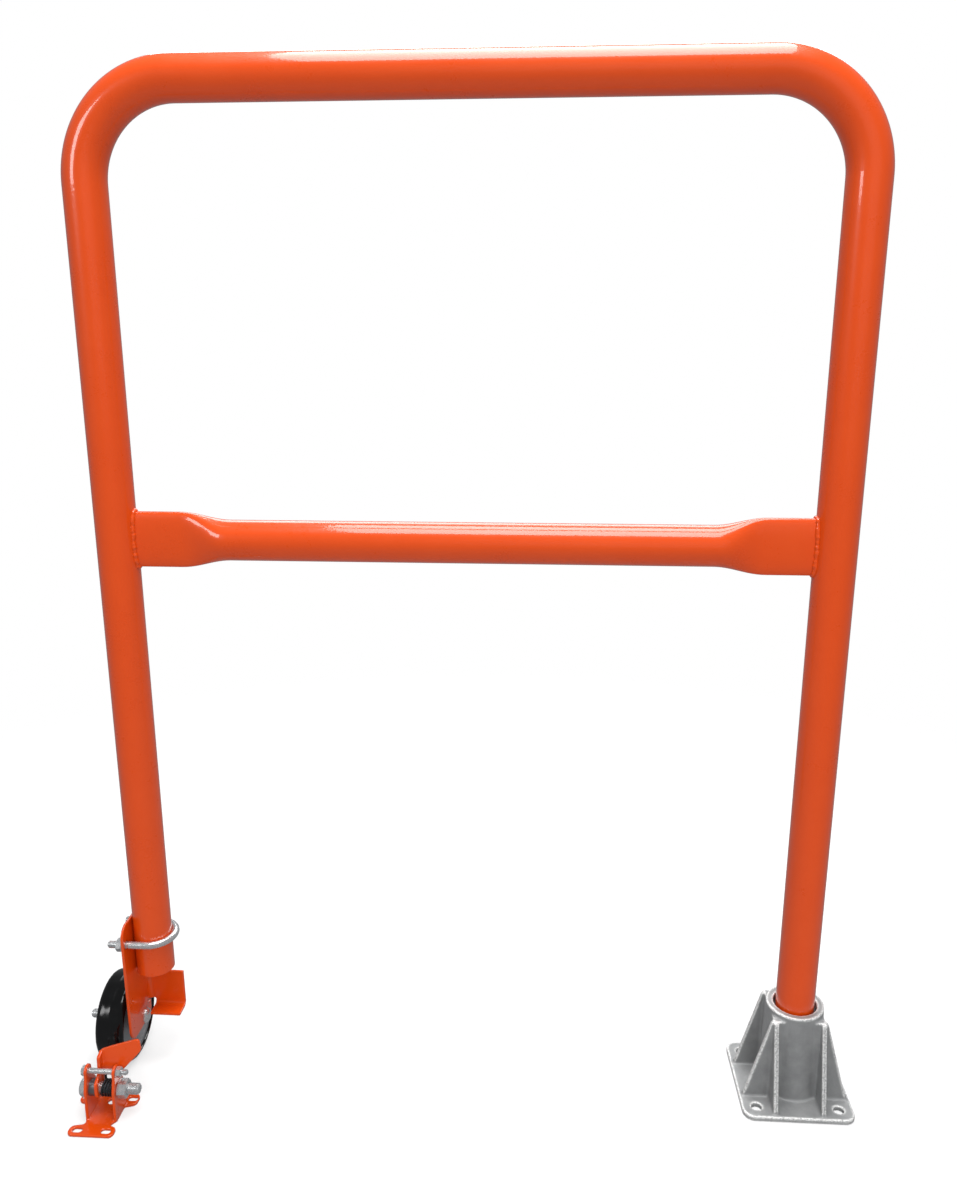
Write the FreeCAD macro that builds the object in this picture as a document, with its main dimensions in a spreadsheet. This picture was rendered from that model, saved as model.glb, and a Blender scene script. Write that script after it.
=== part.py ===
"""Single-leaf tubular swing gate for a lane or walkway.

The leaf is one bent tube with a mid rail. Its right leg turns in a cast socket bolted to the floor, its left
leg rolls on a wheel, and a sprung floor latch in front of the wheel holds the leaf shut.

Frame: the origin is on the hinge axis at floor level, under the middle of the cast socket. The leaf runs
towards -X, the latch is on the -Y side, and +Z is up. Millimetres.
"""
import FreeCAD, Part
import math
import os
import re
import Sketcher

# ---------------------------------------------------------------- driving sizes

SIZES = [
    # the leaf
    ("gate_width", 762, "outside width over the two legs (30 in)"),
    ("gate_height", 1067, "floor to the top of the top rail (42 in)"),
    ("tube_od", 41.3, "outside diameter of every tube (1 5/8 in)"),
    ("tube_wall", 2.6, "wall of every tube"),
    ("bend_radius", 90, "centreline radius of the two top bends"),
    ("mid_rail_height", 619, "floor to the middle of the mid rail"),
    ("wheel_leg_gap", 121, "floor to the open end of the wheel leg"),
    ("flat_height", 57, "height of the mid rail's flattened ends"),
    ("flat_thickness", 13, "thickness of the flattened ends"),
    ("flat_run", 46, "length of a flattened end beyond the leg's side"),
    ("flat_taper", 52, "length over which an end becomes round"),
    ("plug_flange", 4, "flange of the end plug under the hinge leg"),
    ("plug_depth", 26, "how far the end plug goes up the hinge leg"),
    # the cast socket
    ("foot_side", 120, "side of the square foot"),
    ("foot_thickness", 6, "thickness of the foot"),
    ("foot_corner", 13, "corner radius of the foot"),
    ("foot_hole", 11, "anchor hole diameter"),
    ("foot_hole_spacing", 88, "anchor hole to anchor hole"),
    ("socket_height", 107, "floor to the rim of the socket"),
    ("socket_floor", 12, "thickness under the socket's bore"),
    ("bush_wall", 2.5, "wall of the socket's bushes"),
    ("socket_wall", 7.8, "wall of the boss at its rim"),
    ("boss_draft", 2.5, "how much the boss's radius grows down to the foot"),
    ("rib_thickness", 5, "thickness of a rib"),
    ("rib_spacing", 51, "middle to middle of a pair of ribs"),
    ("rib_top_reach", 30, "from the axis to a rib's upper corner"),
    ("rib_foot_margin", 4, "from a rib's lower corner to the foot's edge"),
    ("rib_drop", 6, "from the rim down to a rib's upper corner"),
    ("bush_length", 18, "length of a socket bush"),
    ("bush_recess", 7, "from the rim down to the upper bush"),
    ("bush_lift", 14, "from the pivot pad up to the lower bush"),
    ("pad_thickness", 5, "thickness of the pivot pad"),
    ("running_gap", 0.05, "radial clearance of a running fit"),
    ("free_gap", 0.3, "clearance between pieces that only pass each other"),
    # the wheel
    ("wheel_od", 101.6, "tyre diameter (4 in)"),
    ("tyre_width", 32, "tyre width"),
    ("tyre_shoulder", 6, "radius of the tyre's shoulders"),
    ("tread_depth", 7, "radial depth of the tyre"),
    ("core_lip", 4, "radial depth of the core's lip"),
    ("core_lip_width", 27, "width of the core at its lip"),
    ("core_web", 12, "thickness of the core's web"),
    ("hub_wall", 5, "wall of the hub round its bushes"),
    ("hub_width", 34, "width of the hub"),
    ("bearing_wall", 2.95, "wall of a hub bush"),
    ("bearing_length", 14, "length of a hub bush in the hub"),
    ("bearing_flange", 1.5, "thickness of a hub bush's flange"),
    ("sleeve_wall", 2, "wall of the axle sleeve"),
    ("axle_od", 10, "axle bolt diameter (M10)"),
    ("axle_back", 6, "from the leg's middle plane back to the axle"),
    ("axle_end", 11, "thread standing out of the axle nut"),
    # the wheel bracket and its clamp
    ("sheet", 3, "thickness of the bracket's sheet"),
    ("front_margin", 5.2, "side plate in front of the U-bolt's front leg"),
    ("rear_margin", 7.2, "side plate behind the U-bolt's rear leg"),
    ("top_margin", 20, "side plate above the U-bolt"),
    ("axle_margin", 8.5, "side plate below the axle's middle"),
    ("side_corner", 15, "radius of the side plate's front corners"),
    ("wing_gap", 1.35, "from the leg's back to the wing"),
    ("wing_overhang", 1.2, "wing beyond the leg's inner side"),
    ("wing_rise", 12.2, "from the axle's middle up to the wing at the notch"),
    ("wing_drop", 21, "from the leg's open end down to the wing's upper edge"),
    ("wing_bend", 5, "inner radius of the sheet's bends"),
    ("lip_rise", 3.2, "from the axle's middle up to the lip's underside"),
    ("lip_depth", 19, "depth of the lip"),
    ("notch_width", 7, "width of the notch left free for the axle's head"),
    ("relief", 4, "height of the relief cuts at the bend"),
    ("clamp_rise", 43, "from the leg's open end up to the U-bolt"),
    ("clamp_rod", 8, "U-bolt rod diameter (M8)"),
    ("clamp_end", 10, "thread standing out of a U-bolt nut"),
    # the floor latch
    ("latch_offset", 30.3, "from the wheel leg's axis out to the latch's middle"),
    ("latch_gap", 46.2, "from the tyre's front forward to the latch's pivot"),
    ("pivot_height", 33, "floor to the latch's pivot"),
    ("latch_sheet", 3, "thickness of the latch bracket"),
    ("ear_gap", 27.6, "clear width between the ears"),
    ("ear_foot", 28, "width of an ear at its foot"),
    ("ear_wall", 7, "ear round the pivot bolt's hole"),
    ("ear_lobe", 7, "radius of an ear round the stop bolt"),
    ("foot_shift", 4, "from the latch's middle out to the middle of its feet"),
    ("front_foot_half", 25, "half the width of the front feet"),
    ("front_foot_edge", 36, "from the pivot forward to the front edge"),
    ("rear_foot_half", 32.5, "half the width of the rear feet"),
    ("rear_foot_edge", 27, "from the pivot back to the rear edge"),
    ("foot_depth", 15, "depth of a foot"),
    ("waist_half", 13, "half the width of the bracket's waist"),
    ("front_slot_spacing", 31, "slot to slot, front feet"),
    ("rear_slot_spacing", 52, "slot to slot, rear feet"),
    ("slot_length", 10.5, "end-to-end length of a slot"),
    ("slot_width", 6.5, "width of a slot"),
    ("web_hole", 8, "round hole in the bracket's floor"),
    ("web_hole_back", 14, "from the pivot back to the floor's hole"),
    ("pivot_od", 12, "pivot bolt diameter (M12)"),
    ("pivot_end", 13, "thread standing out of the pivot nut"),
    ("stop_od", 6, "stop bolt diameter (M6)"),
    ("stop_rise", 22, "from the pivot up to the stop bolt"),
    ("stop_forward", 2, "from the pivot forward to the stop bolt"),
    ("stop_end", 7, "thread standing out of the stop nut"),
    ("spacer_length", 7.6, "length of the spacer beside the catch"),
    ("spacer_wall", 3, "wall of the spacer"),
    ("spring_wire", 2.5, "spring wire diameter"),
    ("spring_gap", 0.75, "from the pivot bolt to the inside of the spring"),
    ("spring_pitch", 2.7, "pitch of the spring"),
    # the catch
    ("catch_sheet", 3.5, "thickness of the catch"),
    ("catch_wall", 4.5, "catch round the pivot bolt's hole"),
    ("paddle_lean", 12, "backward lean of the paddle, degrees"),
    ("paddle_foot", 16, "from the pivot up to the paddle's lower edge"),
    ("paddle_low", 38, "from the pivot up to the paddle's left corner"),
    ("paddle_high", 52, "from the pivot up to the paddle's tip"),
    ("paddle_reach", 40, "from the latch's middle out to the paddle's tip"),
    ("paddle_back", 7, "from the pivot back to the paddle's face at the stop's height"),
]

# Lengths that follow from the driving sizes, written once each as formulas.
WORKED = {
    "leg_x": "-gate_width + tube_od",
    "tube_r": "tube_od / 2",
    "top_z": "gate_height - tube_od / 2",
    "leg_foot": "socket_floor + pad_thickness + plug_flange",
    "socket_r": "tube_r + running_gap + bush_wall",
    "boss_r": "socket_r + socket_wall",
    "plate_in": "leg_x - tube_r",
    "plate_out": "leg_x - tube_r - sheet",
    "washer": "0.16 * axle_od",
    "hub_span": "hub_width + 2 * bearing_flange",
    "sleeve_length": "hub_span + 4 * free_gap",
    "wheel_x": "plate_out - washer - sleeve_length / 2",
    "axle_z": "wheel_od / 2",
    "core_r": "wheel_od / 2 - tread_depth",
    "sleeve_r": "axle_od / 2 + sleeve_wall",
    "bearing_r": "sleeve_r + running_gap + bearing_wall",
    "hub_r": "bearing_r + hub_wall",
    "clamp_y": "tube_r + clamp_rod / 2 + free_gap / 3",
    "clamp_height": "wheel_leg_gap + clamp_rise",
    "side_front": "clamp_y + clamp_rod / 2 + front_margin",
    "side_rear": "clamp_y + clamp_rod / 2 + rear_margin",
    "side_top": "clamp_height + clamp_rod / 2 + top_margin",
    "side_bottom": "axle_z - axle_margin",
    "wing_back": "tube_r + wing_gap",
    "wing_edge": "leg_x + tube_r + wing_overhang",
    "wing_bottom": "axle_z + wing_rise",
    "wing_top": "wheel_leg_gap - wing_drop",
    "lip_height": "axle_z + lip_rise",
    "latch_x": "leg_x - latch_offset",
    "latch_reach": "wheel_od / 2 - axle_back + latch_gap",
    "ear_in": "ear_gap / 2",
    "ear_out": "ear_gap / 2 + latch_sheet",
    "ear_round": "pivot_od / 2 + ear_wall",
    "catch_boss": "pivot_od / 2 + catch_wall",
    "catch_left": "-ear_in + spacer_length + free_gap / 2",
    "spring_r": "pivot_od / 2 + spring_gap + spring_wire / 2",
}

doc = FreeCAD.newDocument("swing_gate")
sheet = doc.addObject("Spreadsheet::Sheet", "Sizes")
for row, (alias, amount, note) in enumerate(SIZES, start=1):
    sheet.set(f"A{row}", note)
    sheet.set(f"B{row}", str(amount))
    sheet.setAlias(f"B{row}", alias)
doc.recompute()
DRIVING = {alias for alias, _, _ in SIZES}


def formula(text):
    """Spell a length out in cells of the sheet, which is the form setExpression takes."""
    def spell(match):
        word = match[0]
        if word in WORKED:
            return f"({formula(WORKED[word])})"
        return f"Sizes.{word}" if word in DRIVING else word
    return re.sub(r"[a-z]\w*", spell, str(text))


probe = doc.addObject("App::FeaturePython", "worked_length")
probe.addProperty("App::PropertyFloat", "Amount")


def number(text):
    """Work a formula out, so that a sketch is drawn close to its final shape."""
    probe.setExpression("Amount", formula(text))
    probe.recompute()
    return probe.Amount


# ---------------------------------------------------------------- helpers

def new_body(label):
    body = doc.addObject("PartDesign::Body", label)
    body.Label = label
    return body


def new_sketch(body, plane, shift="0", lean=None):
    """A sketch on one of the body's origin planes, shifted along the plane's normal.

    The normals are +Z for XY, -Y for XZ and +X for YZ.
    """
    sketch = body.newObject("Sketcher::SketchObject", f"{body.Name}_sketch")
    origin_plane = next(f for f in body.Origin.OriginFeatures if f.Role == f"{plane}_Plane")
    sketch.AttachmentSupport = [(origin_plane, "")]
    sketch.MapMode = "FlatFace"
    sketch.setExpression("AttachmentOffset.Base.z", formula(shift))
    if lean:
        sketch.AttachmentOffset = FreeCAD.Placement(FreeCAD.Vector(), FreeCAD.Rotation(FreeCAD.Vector(1, 0, 0), 10))
        sketch.setExpression("AttachmentOffset.Base.y", formula(lean[0]))
        sketch.setExpression("AttachmentOffset.Rotation.Angle", formula(lean[1]))
    return sketch


def bind(sketch, kind, *place, text):
    """Add a dimension and tie it to the sheet."""
    index = sketch.addConstraint(Sketcher.Constraint(kind, *place, number(text)))
    sketch.setExpression(f"Constraints[{index}]", formula(text))


def pin(sketch, geometry, point, x, y):
    """Hold one point of a sketch at x, y from the sketch's origin."""
    bind(sketch, "DistanceX", -1, 1, geometry, point, text=x)
    bind(sketch, "DistanceY", -1, 1, geometry, point, text=y)


def at(x, y):
    return FreeCAD.Vector(number(x), number(y), 0)


def circle(sketch, radius, x="0", y="0"):
    ring = sketch.addGeometry(Part.Circle(at(x, y), FreeCAD.Vector(0, 0, 1), number(radius)))
    pin(sketch, ring, 3, x, y)
    bind(sketch, "Radius", ring, text=radius)


def outline(sketch, corners, closed=True):
    """Straight lines through corners given as (x, y) or (x, y, corner radius)."""
    count = len(corners)
    sides = count if closed else count - 1
    points = [at(*corner[:2]) for corner in corners]
    lines = [sketch.addGeometry(Part.LineSegment(points[step], points[(step + 1) % count]))
             for step in range(sides)]
    for step in range(sides if closed else sides - 1):
        joint = Sketcher.Constraint("Coincident", lines[step], 2, lines[(step + 1) % sides], 1)
        sketch.addConstraint(joint)
    for step, corner in enumerate(corners):
        if step < sides:
            pin(sketch, lines[step], 1, corner[0], corner[1])
        else:
            pin(sketch, lines[-1], 2, corner[0], corner[1])
    for step, corner in enumerate(corners):
        if len(corner) == 3:
            soften(sketch, lines[step - 1], corner[2])


def soften(sketch, line, radius):
    """Round the corner at the end of a line."""
    first = sketch.GeometryCount
    sketch.fillet(line, 2, number(radius), True, True)
    arc = next(index for index in range(first, sketch.GeometryCount)
               if isinstance(sketch.Geometry[index], Part.ArcOfCircle))
    bind(sketch, "Radius", arc, text=radius)


def slot(sketch, length, width, x, y):
    """A slot along the sketch's x axis, centred at x, y."""
    up, radius, quarter = FreeCAD.Vector(0, 0, 1), number(f"{width} / 2"), math.pi / 2
    high = FreeCAD.Vector(0, radius, 0)
    right_x, left_x = f"{x} + ({length} - {width}) / 2", f"{x} - ({length} - {width}) / 2"
    right_at, left_at = at(right_x, y), at(left_x, y)
    right = sketch.addGeometry(Part.ArcOfCircle(Part.Circle(right_at, up, radius), -quarter, quarter))
    left = sketch.addGeometry(Part.ArcOfCircle(Part.Circle(left_at, up, radius), quarter, 3 * quarter))
    top = sketch.addGeometry(Part.LineSegment(right_at + high, left_at + high))
    bottom = sketch.addGeometry(Part.LineSegment(left_at - high, right_at - high))
    for one, other in ((right, top), (top, left), (left, bottom), (bottom, right)):
        sketch.addConstraint(Sketcher.Constraint("Tangent", one, 2, other, 1))
    pin(sketch, right, 3, right_x, y)
    pin(sketch, left, 3, left_x, y)
    bind(sketch, "Radius", right, text=f"{width} / 2")


def pad(body, sketch, length):
    feature = body.newObject("PartDesign::Pad", f"{body.Name}_pad")
    feature.Profile = sketch
    feature.setExpression("Length", formula(length))
    sketch.Visibility = False
    doc.recompute()
    return feature


def pocket(body, sketch, length):
    """Cut against the sketch's normal, and make sure that something was cut."""
    before = body.Shape.Volume
    feature = body.newObject("PartDesign::Pocket", f"{body.Name}_pocket")
    feature.Profile = sketch
    feature.setExpression("Length", formula(length))
    doc.recompute()
    if not feature.Shape.Volume < before:
        raise ValueError(f"{feature.Name} cuts nothing")
    return feature


def turn(body, sketch, axis="V_Axis"):
    """Turn a closed half section round an axis of its sketch."""
    feature = body.newObject("PartDesign::Revolution", f"{body.Name}_turned")
    feature.Profile = sketch
    feature.ReferenceAxis = (sketch, [axis])
    feature.Angle = 360
    doc.recompute()
    return feature


def pipe(body, section, path):
    feature = body.newObject("PartDesign::AdditivePipe", f"{body.Name}_pipe")
    feature.Profile = section
    feature.Spine = (path, [""])
    doc.recompute()
    return feature


def place(body, x="0", y="0", z="0"):
    """Move a finished body, by formulas of the sheet."""
    for letter, text in (("x", x), ("y", y), ("z", z)):
        body.setExpression(f"Placement.Base.{letter}", formula(text))


def disc(label, plane, start, length, outer, inner=None, x="0", y="0"):
    """A plain disc, pin or sleeve whose axis is a plane's normal."""
    body = new_body(label)
    sketch = new_sketch(body, plane, start)
    circle(sketch, outer, x, y)
    if inner:
        circle(sketch, inner, x, y)
    pad(body, sketch, length)
    return body


def hexagon(sketch, across_flats, x="0", y="0"):
    corner = f"({across_flats}) / 1.7320508"
    points = ((1, 0), (0.5, 0.8660254), (-0.5, 0.8660254), (-1, 0), (-0.5, -0.8660254), (0.5, -0.8660254))
    outline(sketch, [(f"{x} + {corner} * {px}", f"{y} + {corner} * {py}") for px, py in points])


def crossing_bolt(label, bore, head_x, head, across_flats, end_x, y, z):
    """A hex bolt along X with its head on the left, from head_x - head to end_x."""
    body = new_body(label)
    head_sketch = new_sketch(body, "YZ", f"{head_x} - {head}")
    hexagon(head_sketch, across_flats, y, z)
    pad(body, head_sketch, head)
    shank = new_sketch(body, "YZ", f"{head_x} - {head} / 2")
    circle(shank, f"{bore} / 2", y, z)
    pad(body, shank, f"{end_x} - ({head_x}) + {head} / 2 - {bore} / 10")
    tip = new_sketch(body, "YZ", f"{end_x} - {bore} / 10")
    circle(tip, f"{bore} / 2 - {bore} / 10", y, z)
    pad(body, tip, f"{bore} / 10")
    return body


def crossing_nut(body, start_x, thickness, across_flats, bore, y, z):
    """A hex nut along X, added to a body from start_x on."""
    sketch = new_sketch(body, "YZ", start_x)
    hexagon(sketch, across_flats, y, z)
    circle(sketch, f"{bore} / 2", y, z)
    pad(body, sketch, thickness)
    return body


def compound(label, makers):
    """One node of several equal pieces, each its own solid."""
    group = doc.addObject("Part::Compound", label)
    group.Label = label
    group.Links = makers
    doc.recompute()
    return group


parts = []

# ---------------------------------------------------------------- cast socket and what is in it

def make_hinge_base():
    body = new_body("hinge_base")
    half = "foot_side / 2"
    foot = new_sketch(body, "XY")
    outline(foot, [(f"-{half}", f"-{half}", "foot_corner"), (half, f"-{half}", "foot_corner"),
                   (half, half, "foot_corner"), (f"-{half}", half, "foot_corner")])
    hole = "foot_hole_spacing / 2"
    for x in (f"-{hole}", hole):
        for y in (f"-{hole}", hole):
            circle(foot, "foot_hole / 2", x, y)
    pad(body, foot, "foot_thickness")

    boss = new_sketch(body, "XZ")
    outline(boss, [("0", "0"), ("boss_r + boss_draft", "0"), ("boss_r + boss_draft", "foot_thickness"),
                   ("boss_r", "socket_height - rib_drop"), ("boss_r", "socket_height"),
                   ("0", "socket_height")])
    turn(body, boss)

    # Each rib is one plate right across the boss, so four of them make the eight that show.
    rib = new_sketch(body, "XZ", "rib_spacing / 2 - rib_thickness / 2")
    lower = "foot_side / 2 - rib_foot_margin"
    outline(rib, [(f"-({lower})", "foot_thickness - 1"), (lower, "foot_thickness - 1"),
                  (lower, "foot_thickness + 1"), ("rib_top_reach", "socket_height - rib_drop", "5"),
                  ("-rib_top_reach", "socket_height - rib_drop", "5"), (f"-({lower})", "foot_thickness + 1")])
    first = pad(body, rib, "rib_thickness")
    pattern = body.newObject("PartDesign::PolarPattern", "hinge_base_ribs")
    pattern.Originals = [first]
    pattern.Axis = (foot, ["N_Axis"])
    pattern.Occurrences = 4
    pattern.Angle = 360
    body.Tip = pattern
    doc.recompute()

    bore = new_sketch(body, "XY", "socket_height")
    circle(bore, "socket_r")
    pocket(body, bore, "socket_height - socket_floor")
    return body


def make_bush(label, start):
    return disc(label, "XY", start, "bush_length", "socket_r", "tube_r + running_gap")


def make_leg_plug():
    """Turned plug: a flange under the tube's end and a spigot up the tube."""
    body = new_body("leg_plug")
    low = "socket_floor + pad_thickness"
    inner = "tube_r - tube_wall"
    half = new_sketch(body, "XZ")
    outline(half, [("0", low), ("tube_r - 2", low), ("tube_r", f"{low} + 2"), ("tube_r", "leg_foot"),
                   (inner, "leg_foot"), (inner, "leg_foot + plug_depth - 2"),
                   (f"{inner} - 2", "leg_foot + plug_depth"), ("0", "leg_foot + plug_depth")])
    turn(body, half)
    return body


parts.append(make_hinge_base())
parts.append(make_bush("upper_bush", "socket_height - bush_recess - bush_length"))
parts.append(make_bush("lower_bush", "socket_floor + pad_thickness + bush_lift"))
parts.append(disc("pivot_pad", "XY", "socket_floor", "pad_thickness", "socket_r - free_gap"))

# ---------------------------------------------------------------- the leaf

def make_gate_arch():
    """One tube, bent twice: up the hinge leg, across the top and down the wheel leg."""
    body = new_body("gate_arch")
    path = new_sketch(body, "XZ")
    outline(path, [("0", "leg_foot"), ("0", "top_z", "bend_radius"), ("leg_x", "top_z", "bend_radius"),
                   ("leg_x", "wheel_leg_gap")], closed=False)
    section = new_sketch(body, "XY", "leg_foot")
    circle(section, "tube_r")
    circle(section, "tube_r - tube_wall")
    pipe(body, section, path)
    return body


def make_mid_rail():
    """A tube pressed flat at both ends and coped to the legs, lofted through its sections."""
    radius = number("tube_od") / 2
    half_span = (number("gate_width") - number("tube_od")) / 2
    middle_x = -half_span
    height = number("mid_rail_height")

    def section(x, tall, thick):
        centre = FreeCAD.Vector(x, 0, height)
        top = centre + FreeCAD.Vector(0, 0, tall)
        side = centre + FreeCAD.Vector(0, thick, 0)
        if tall == thick:
            round_edge = Part.Circle(centre, FreeCAD.Vector(1, 0, 0), tall).toShape()
            round_edge.rotate(centre, FreeCAD.Vector(1, 0, 0), 90)
            return Part.Wire([round_edge])
        return Part.Wire([Part.Ellipse(top, side, centre).toShape()])

    def run(inset):
        """The rail's skin drawn in by inset: zero for the outside, the wall for the inside."""
        flat_tall, flat_thick = number("flat_height") / 2 - inset, number("flat_thickness") / 2 - inset
        flat_end = half_span - radius - number("flat_run")
        round_end = flat_end - number("flat_taper")
        pieces = [Part.makeCylinder(radius - inset, 2 * round_end, FreeCAD.Vector(middle_x - round_end, 0, height),
                                    FreeCAD.Vector(1, 0, 0))]
        for way in (-1, 1):
            stations = [(round_end, radius - inset, radius - inset),
                        (round_end + 1, radius - inset, radius - inset),
                        (flat_end - 1, flat_tall, flat_thick), (flat_end, flat_tall, flat_thick)]
            wires = [section(middle_x + way * x, tall, thick) for x, tall, thick in stations]
            pieces.append(Part.makeLoft(wires, True, False))
            flat_face = Part.Face(section(middle_x + way * flat_end, flat_tall, flat_thick))
            pieces.append(flat_face.extrude(FreeCAD.Vector(way * (half_span - flat_end), 0, 0)))
        return pieces[0].multiFuse(pieces[1:])

    shape = run(0).cut(run(number("tube_wall")))
    for leg in (0, 2 * middle_x):
        base = FreeCAD.Vector(leg, 0, height - number("flat_height"))
        shape = shape.cut(Part.makeCylinder(radius, 2 * number("flat_height"), base))
    rail = doc.addObject("Part::Feature", "mid_rail")
    rail.Label = "mid_rail"
    rail.Shape = shape.removeSplitter()
    return rail


parts.append(make_gate_arch())
parts.append(make_mid_rail())
parts.append(make_leg_plug())

# ---------------------------------------------------------------- wheel bracket and clamp

def make_wheel_bracket():
    body = new_body("wheel_bracket")
    fold = "wing_back + sheet"
    bend_start = "wing_back - wing_bend"
    side = new_sketch(body, "YZ", "plate_out")
    outline(side, [("-side_front", "side_bottom", "side_corner"), (fold, "side_bottom", "8"),
                   (fold, "wing_bottom - relief"), (bend_start, "wing_bottom - relief"),
                   (bend_start, "wing_top + relief"), (fold, "wing_top + relief"),
                   ("side_rear", "wing_top + relief + 12"), ("side_rear", "side_top", "8"),
                   ("-side_front", "side_top", "side_corner")])
    circle(side, "axle_od / 2", "axle_back", "axle_z")
    for y in ("-clamp_y", "clamp_y"):
        circle(side, "clamp_rod / 2 + free_gap", y, "clamp_height")
    pad(body, side, "sheet")

    # The wing is the same sheet, folded round behind the leg.
    wing = new_sketch(body, "XY", "wing_bottom")
    outline(wing, [("plate_out", f"{bend_start} - 2"), ("plate_in", f"{bend_start} - 2"),
                   ("plate_in", "wing_back", "wing_bend"), ("wing_edge", "wing_back"),
                   ("wing_edge", fold), ("plate_out", fold, "wing_bend + sheet")])
    pad(body, wing, "wing_top - wing_bottom")

    # The lip is folded forward along the wing's lower edge, clear of the axle's head.
    lip = new_sketch(body, "YZ", "plate_in + notch_width")
    tip = "wing_back - lip_depth"
    outline(lip, [(tip, "lip_height"), (fold, "lip_height", "wing_bend - 1 + sheet"),
                  (fold, "wing_bottom + 2"), ("wing_back", "wing_bottom + 2"),
                  ("wing_back", "lip_height + sheet", "wing_bend - 1"), (tip, "lip_height + sheet")])
    pad(body, lip, "wing_edge - (plate_in + notch_width)")
    return body


def make_u_bolt():
    body = new_body("u_bolt")
    end = "plate_out - 0.16 * clamp_rod - 0.8 * clamp_rod - clamp_end"
    path = new_sketch(body, "XY", "clamp_height")
    outline(path, [(end, "-clamp_y"), ("leg_x + clamp_y", "-clamp_y", "clamp_y - 0.01"),
                   ("leg_x + clamp_y", "clamp_y", "clamp_y - 0.01"), (end, "clamp_y")], closed=False)
    section = new_sketch(body, "YZ", end)
    circle(section, "clamp_rod / 2", "-clamp_y", "clamp_height")
    pipe(body, section, path)
    return body


def make_clamp_pair(label, start, length, outer, hexed):
    """Two equal rings or nuts on the U-bolt's legs."""
    pair = []
    for name, y in (("front", "-clamp_y"), ("rear", "clamp_y")):
        body = new_body(f"{label}_{name}")
        if hexed:
            crossing_nut(body, start, length, outer, "clamp_rod", y, "clamp_height")
        else:
            ring = new_sketch(body, "YZ", start)
            circle(ring, outer, y, "clamp_height")
            circle(ring, "clamp_rod / 2", y, "clamp_height")
            pad(body, ring, length)
        pair.append(body)
    return compound(label, pair)


parts.append(make_wheel_bracket())
parts.append(make_u_bolt())
clamp_washer = "0.16 * clamp_rod"
clamp_nut = "0.8 * clamp_rod"
parts.append(make_clamp_pair("u_bolt_washers", f"plate_out - {clamp_washer}", clamp_washer, "clamp_rod", False))
parts.append(make_clamp_pair("u_bolt_nuts", f"plate_out - {clamp_washer} - {clamp_nut}", clamp_nut,
                             "1.62 * clamp_rod", True))

# ---------------------------------------------------------------- axle and wheel

def make_axle_bolt():
    """A low round head inside the bracket, then the shank out through the wheel."""
    body = new_body("axle_bolt")
    head = new_sketch(body, "YZ", "plate_in")
    circle(head, "0.85 * axle_od", "axle_back", "axle_z")
    pad(body, head, "0.55 * axle_od")
    end = "plate_out - 2 * washer - sleeve_length - 0.8 * axle_od - axle_end"
    shank = new_sketch(body, "YZ", f"{end} + 1")
    circle(shank, "axle_od / 2", "axle_back", "axle_z")
    pad(body, shank, f"plate_in - ({end} + 1)")
    tip = new_sketch(body, "YZ", end)
    circle(tip, "axle_od / 2 - 1", "axle_back", "axle_z")
    pad(body, tip, "1")
    return body


def axle_ring(label, start, length, outer, inner):
    return disc(label, "YZ", start, length, outer, inner, "axle_back", "axle_z")


def wheel_turning(label, half_section):
    """A turned piece of the wheel: x along the axle from the wheel's middle, y out from the axle."""
    body = new_body(label)
    sketch = new_sketch(body, "XZ")
    outline(sketch, half_section)
    turn(body, sketch, "H_Axis")
    place(body, "wheel_x", "axle_back", "axle_z")
    return body


def make_tyre():
    half, out, seat = "tyre_width / 2", "wheel_od / 2", "core_r"
    inner = "core_lip_width / 2"
    return wheel_turning("tyre", [(f"-{inner}", seat), (inner, seat), (half, f"{seat} + tread_depth / 8"),
                                  (half, out, "tyre_shoulder"), (f"-{half}", out, "tyre_shoulder"),
                                  (f"-{half}", f"{seat} + tread_depth / 8")])


def make_wheel_core():
    lip, web, hub = "core_lip_width / 2", "core_web / 2", "hub_width / 2"
    out, step, boss, bore = "core_r", "core_r - core_lip", "hub_r", "bearing_r"
    right = [(hub, bore), (hub, boss), (web, f"{boss} + 1"), (web, f"{step} - 2"), (lip, step), (lip, out)]
    left = [(f"-({x})", y) for x, y in reversed(right)]
    return wheel_turning("wheel_core", right + left)


def make_hub_bushes():
    """Two flanged plain bearings pressed into the hub from its two sides."""
    bore = "sleeve_r + running_gap"
    hub, flange = "hub_width / 2", "hub_width / 2 + bearing_flange"
    tail = "hub_width / 2 - bearing_length"
    right = [(tail, bore), (flange, bore), (flange, "bearing_r + 2.5"), (hub, "bearing_r + 2.5"),
             (hub, "bearing_r"), (tail, "bearing_r")]
    left = [(f"-({x})", y) for x, y in reversed(right)]
    return compound("hub_bushes", [wheel_turning("hub_bush_right", right), wheel_turning("hub_bush_left", left)])


def make_axle_washers():
    inner = axle_ring("axle_washer_inner", "plate_out - washer", "washer", "axle_od", "axle_od / 2")
    outer = axle_ring("axle_washer_outer", "plate_out - 2 * washer - sleeve_length", "washer", "axle_od",
                      "axle_od / 2")
    return compound("axle_washers", [inner, outer])


def make_axle_nut():
    body = new_body("axle_nut")
    crossing_nut(body, "plate_out - 2 * washer - sleeve_length - 0.8 * axle_od", "0.8 * axle_od",
                 "1.6 * axle_od", "axle_od", "axle_back", "axle_z")
    return body


parts.append(make_axle_bolt())
parts.append(make_axle_washers())
parts.append(axle_ring("axle_sleeve", "plate_out - washer - sleeve_length", "sleeve_length", "sleeve_r",
                       "axle_od / 2"))
parts.append(make_axle_nut())
parts.append(make_tyre())
parts.append(make_wheel_core())
parts.append(make_hub_bushes())

# ---------------------------------------------------------------- floor latch
# Every latch piece is drawn about the latch's own middle, over the pivot, and then placed.

def place_latch(body):
    place(body, "latch_x", "-latch_reach", "0")
    return body


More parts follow.
